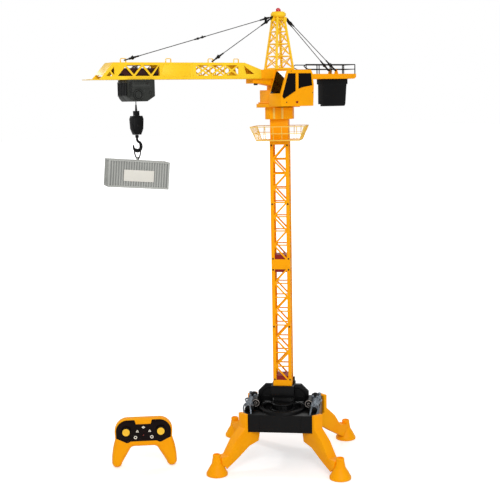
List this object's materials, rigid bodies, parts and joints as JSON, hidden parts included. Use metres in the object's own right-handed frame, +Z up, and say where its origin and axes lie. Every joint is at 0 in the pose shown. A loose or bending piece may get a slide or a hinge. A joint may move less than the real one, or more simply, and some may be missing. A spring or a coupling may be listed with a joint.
{
  "type": "toy tower crane",
  "caption": "Remote-controlled toy tower crane on four splayed feet, with a turning top, travelling trolley, winch, hook, freight container and handset.",
  "frame": {"origin": "on the floor, on the mast's axis", "axes": "+Z up along the mast; -X along the jib towards its tip; the cab hangs on the -Y side"},
  "size_m": [0.85, 0.542, 1.28],
  "materials": {
    "mast_yellow": "satin orange-yellow moulded ABS",
    "jib_yellow": "satin bright yellow moulded ABS",
    "rail_yellow": "thin satin yellow moulding",
    "black_plastic": "fine-grained black plastic",
    "dark_grey_plastic": "dark grey moulded plastic",
    "gunmetal_plastic": "silver-grey lacquered moulding",
    "red_plastic": "dark red plastic",
    "beacon_red": "clear red dome",
    "window_dark": "smoked glossy pane",
    "steel": "steel",
    "screw_black": "blackened screw",
    "container_grey": "light grey matte plastic",
    "line_grey": "braided line",
    "rack_brown": "dark nylon rack",
    "battery_wrap": "plain cell sleeve",
    "stick_yellow": "yellow thumb-stick cap",
    "button_dark": "black key with a pale outline"
  },
  "bodies": {
    "base": {"base_deck": "black_plastic", "base_bottom": "black_plastic", "battery_cover": "black_plastic", "batteries": "battery_wrap", "legs": "mast_yellow", "feet": "mast_yellow", "deck_fittings": "gunmetal_plastic", "deck_knobs": "black_plastic", "pedestal": "black_plastic", "mast_lower_front": "mast_yellow", "mast_lower_rear": "mast_yellow", "mast_upper_front": "mast_yellow", "mast_upper_rear": "mast_yellow", "mast_plugs": "red_plastic", "mast_screws": "screw_black", "platform_basket": "rail_yellow", "mast_head": "mast_yellow", "slew_collar": "mast_yellow"},
    "switch": {"power_switch": "black_plastic"},
    "slew": {"slew_plate": "mast_yellow", "slew_housing": "mast_yellow", "slew_motor": "steel", "turret_frame": "mast_yellow", "jib_knob": "screw_black", "cab_shell": "mast_yellow", "cab_windows": "window_dark", "tower_top": "jib_yellow", "beacon": "beacon_red", "jib_inner": "jib_yellow", "jib_outer": "jib_yellow", "travel_rack": "rack_brown", "counter_deck": "mast_yellow", "hand_rails": "black_plastic", "counterweight": "black_plastic", "pendant_lines": "line_grey", "pendant_clips": "black_plastic"},
    "pinion": {"slew_pinion": "steel"},
    "trolley": {"trolley_carriage": "dark_grey_plastic", "winch_front": "dark_grey_plastic", "winch_rear": "dark_grey_plastic", "trolley_motors": "steel"},
    "front_wheels": {"front_wheelset": "black_plastic"},
    "rear_wheels": {"rear_wheelset": "black_plastic"},
    "travel_gear": {"travel_pinion": "steel"},
    "drum": {"hoist_drum": "black_plastic"},
    "block": {"hook_block": "black_plastic", "hoist_rope": "line_grey"},
    "hook": {"hook": "black_plastic"},
    "load": {"load_link": "black_plastic", "container": "container_grey"},
    "handset": {"handset_front": "mast_yellow", "handset_back": "mast_yellow", "handset_fascia": "black_plastic"},
    "stick_left": {"left_stick": "stick_yellow"},
    "stick_right": {"right_stick": "stick_yellow"},
    "key_diamond": {"button_diamond": "button_dark"},
    "key_triangle_left": {"button_triangle_left": "button_dark"},
    "key_triangle_right": {"button_triangle_right": "button_dark"},
    "key_round_left": {"button_round_left": "button_dark"},
    "key_round_right": {"button_round_right": "button_dark"}
  },
  "joints": [
    {"name": "slewing", "type": "hinge", "parent": "base", "child": "slew", "pos_m": [0, 0, 1.009], "axis": [0, 0, 1], "range_deg": [-340, 340]},
    {"name": "slew_drive", "type": "hinge", "parent": "slew", "child": "pinion", "pos_m": [-0.01785, 0.01785, 0.99], "axis": [0, 0, 1], "range_deg": [-1365, 1365]},
    {"name": "trolley_travel", "type": "slide", "parent": "slew", "child": "trolley", "axis": [-1, 0, 0], "range_m": [-0.25, 0.02]},
    {"name": "travel_drive", "type": "hinge", "parent": "trolley", "child": "travel_gear", "pos_m": [-0.443, 0, 1.11875], "axis": [0, 1, 0], "range_deg": [-2400, 200]},
    {"name": "front_wheels_roll", "type": "hinge", "parent": "trolley", "child": "front_wheels", "pos_m": [-0.4905, 0, 1.0958], "axis": [0, 1, 0], "range_deg": [-240, 2880]},
    {"name": "rear_wheels_roll", "type": "hinge", "parent": "trolley", "child": "rear_wheels", "pos_m": [-0.3955, 0, 1.0958], "axis": [0, 1, 0], "range_deg": [-240, 2880]},
    {"name": "hoist", "type": "slide", "parent": "trolley", "child": "block", "axis": [0, 0, -1], "range_m": [-0.018, 0.57], "deforming": ["hoist_rope"]},
    {"name": "drum_turn", "type": "hinge", "parent": "trolley", "child": "drum", "pos_m": [-0.45255, 0, 1.0497], "axis": [0, 1, 0], "range_deg": [-125, 3850]},
    {"name": "hook_swivel", "type": "hinge", "parent": "block", "child": "hook", "pos_m": [-0.444, 0, 0.9485], "axis": [0, 0, 1], "continuous": true},
    {"name": "load_swing", "type": "hinge", "parent": "hook", "child": "load", "pos_m": [-0.444, 0, 0.91055], "axis": [0.2756, 0.9613, 0], "range_deg": [-15, 15]},
    {"name": "power", "type": "slide", "parent": "base", "child": "switch", "axis": [0.7615, -0.6481, 0], "range_m": [0, 0.0072]},
    {"name": "handset_lift", "type": "slide", "parent": "base", "child": "handset", "axis": [0, 0, 1], "range_m": [0, 0.06]},
    {"name": "left_stick_tilt", "type": "hinge", "parent": "handset", "child": "stick_left", "pos_m": [-0.41831, 0.18266, 0.108], "axis": [0.8846, -0.4664, 0], "range_deg": [-18, 18], "stiffness_Nm_per_rad": 0.02},
    {"name": "right_stick_tilt", "type": "hinge", "parent": "handset", "child": "stick_right", "pos_m": [-0.33162, 0.13695, 0.108], "axis": [0, 0, 1], "range_deg": [-18, 18], "stiffness_Nm_per_rad": 0.02},
    {"name": "press_diamond", "type": "slide", "parent": "handset", "child": "key_diamond", "axis": [0.4664, 0.8846, 0], "range_m": [0, 0.0015], "stiffness_N_per_m": 120},
    {"name": "press_triangle_left", "type": "slide", "parent": "handset", "child": "key_triangle_left", "axis": [0.4664, 0.8846, 0], "range_m": [0, 0.0015], "stiffness_N_per_m": 120},
    {"name": "press_triangle_right", "type": "slide", "parent": "handset", "child": "key_triangle_right", "axis": [0.4664, 0.8846, 0], "range_m": [0, 0.0015], "stiffness_N_per_m": 120},
    {"name": "press_round_left", "type": "slide", "parent": "handset", "child": "key_round_left", "axis": [0.4664, 0.8846, 0], "range_m": [0, 0.0015], "stiffness_N_per_m": 120},
    {"name": "press_round_right", "type": "slide", "parent": "handset", "child": "key_round_right", "axis": [0.4664, 0.8846, 0], "range_m": [0, 0.0015], "stiffness_N_per_m": 120}
  ],
  "couplings": [
    {"joint": "slew_drive", "follows": "slewing", "ratio": 4},
    {"joint": "travel_drive", "follows": "trolley_travel", "rad_per_m": 166.67},
    {"joint": "front_wheels_roll", "follows": "trolley_travel", "rad_per_m": -200},
    {"joint": "rear_wheels_roll", "follows": "trolley_travel", "rad_per_m": -200},
    {"joint": "drum_turn", "follows": "hoist", "rad_per_m": 117.65}
  ]
}
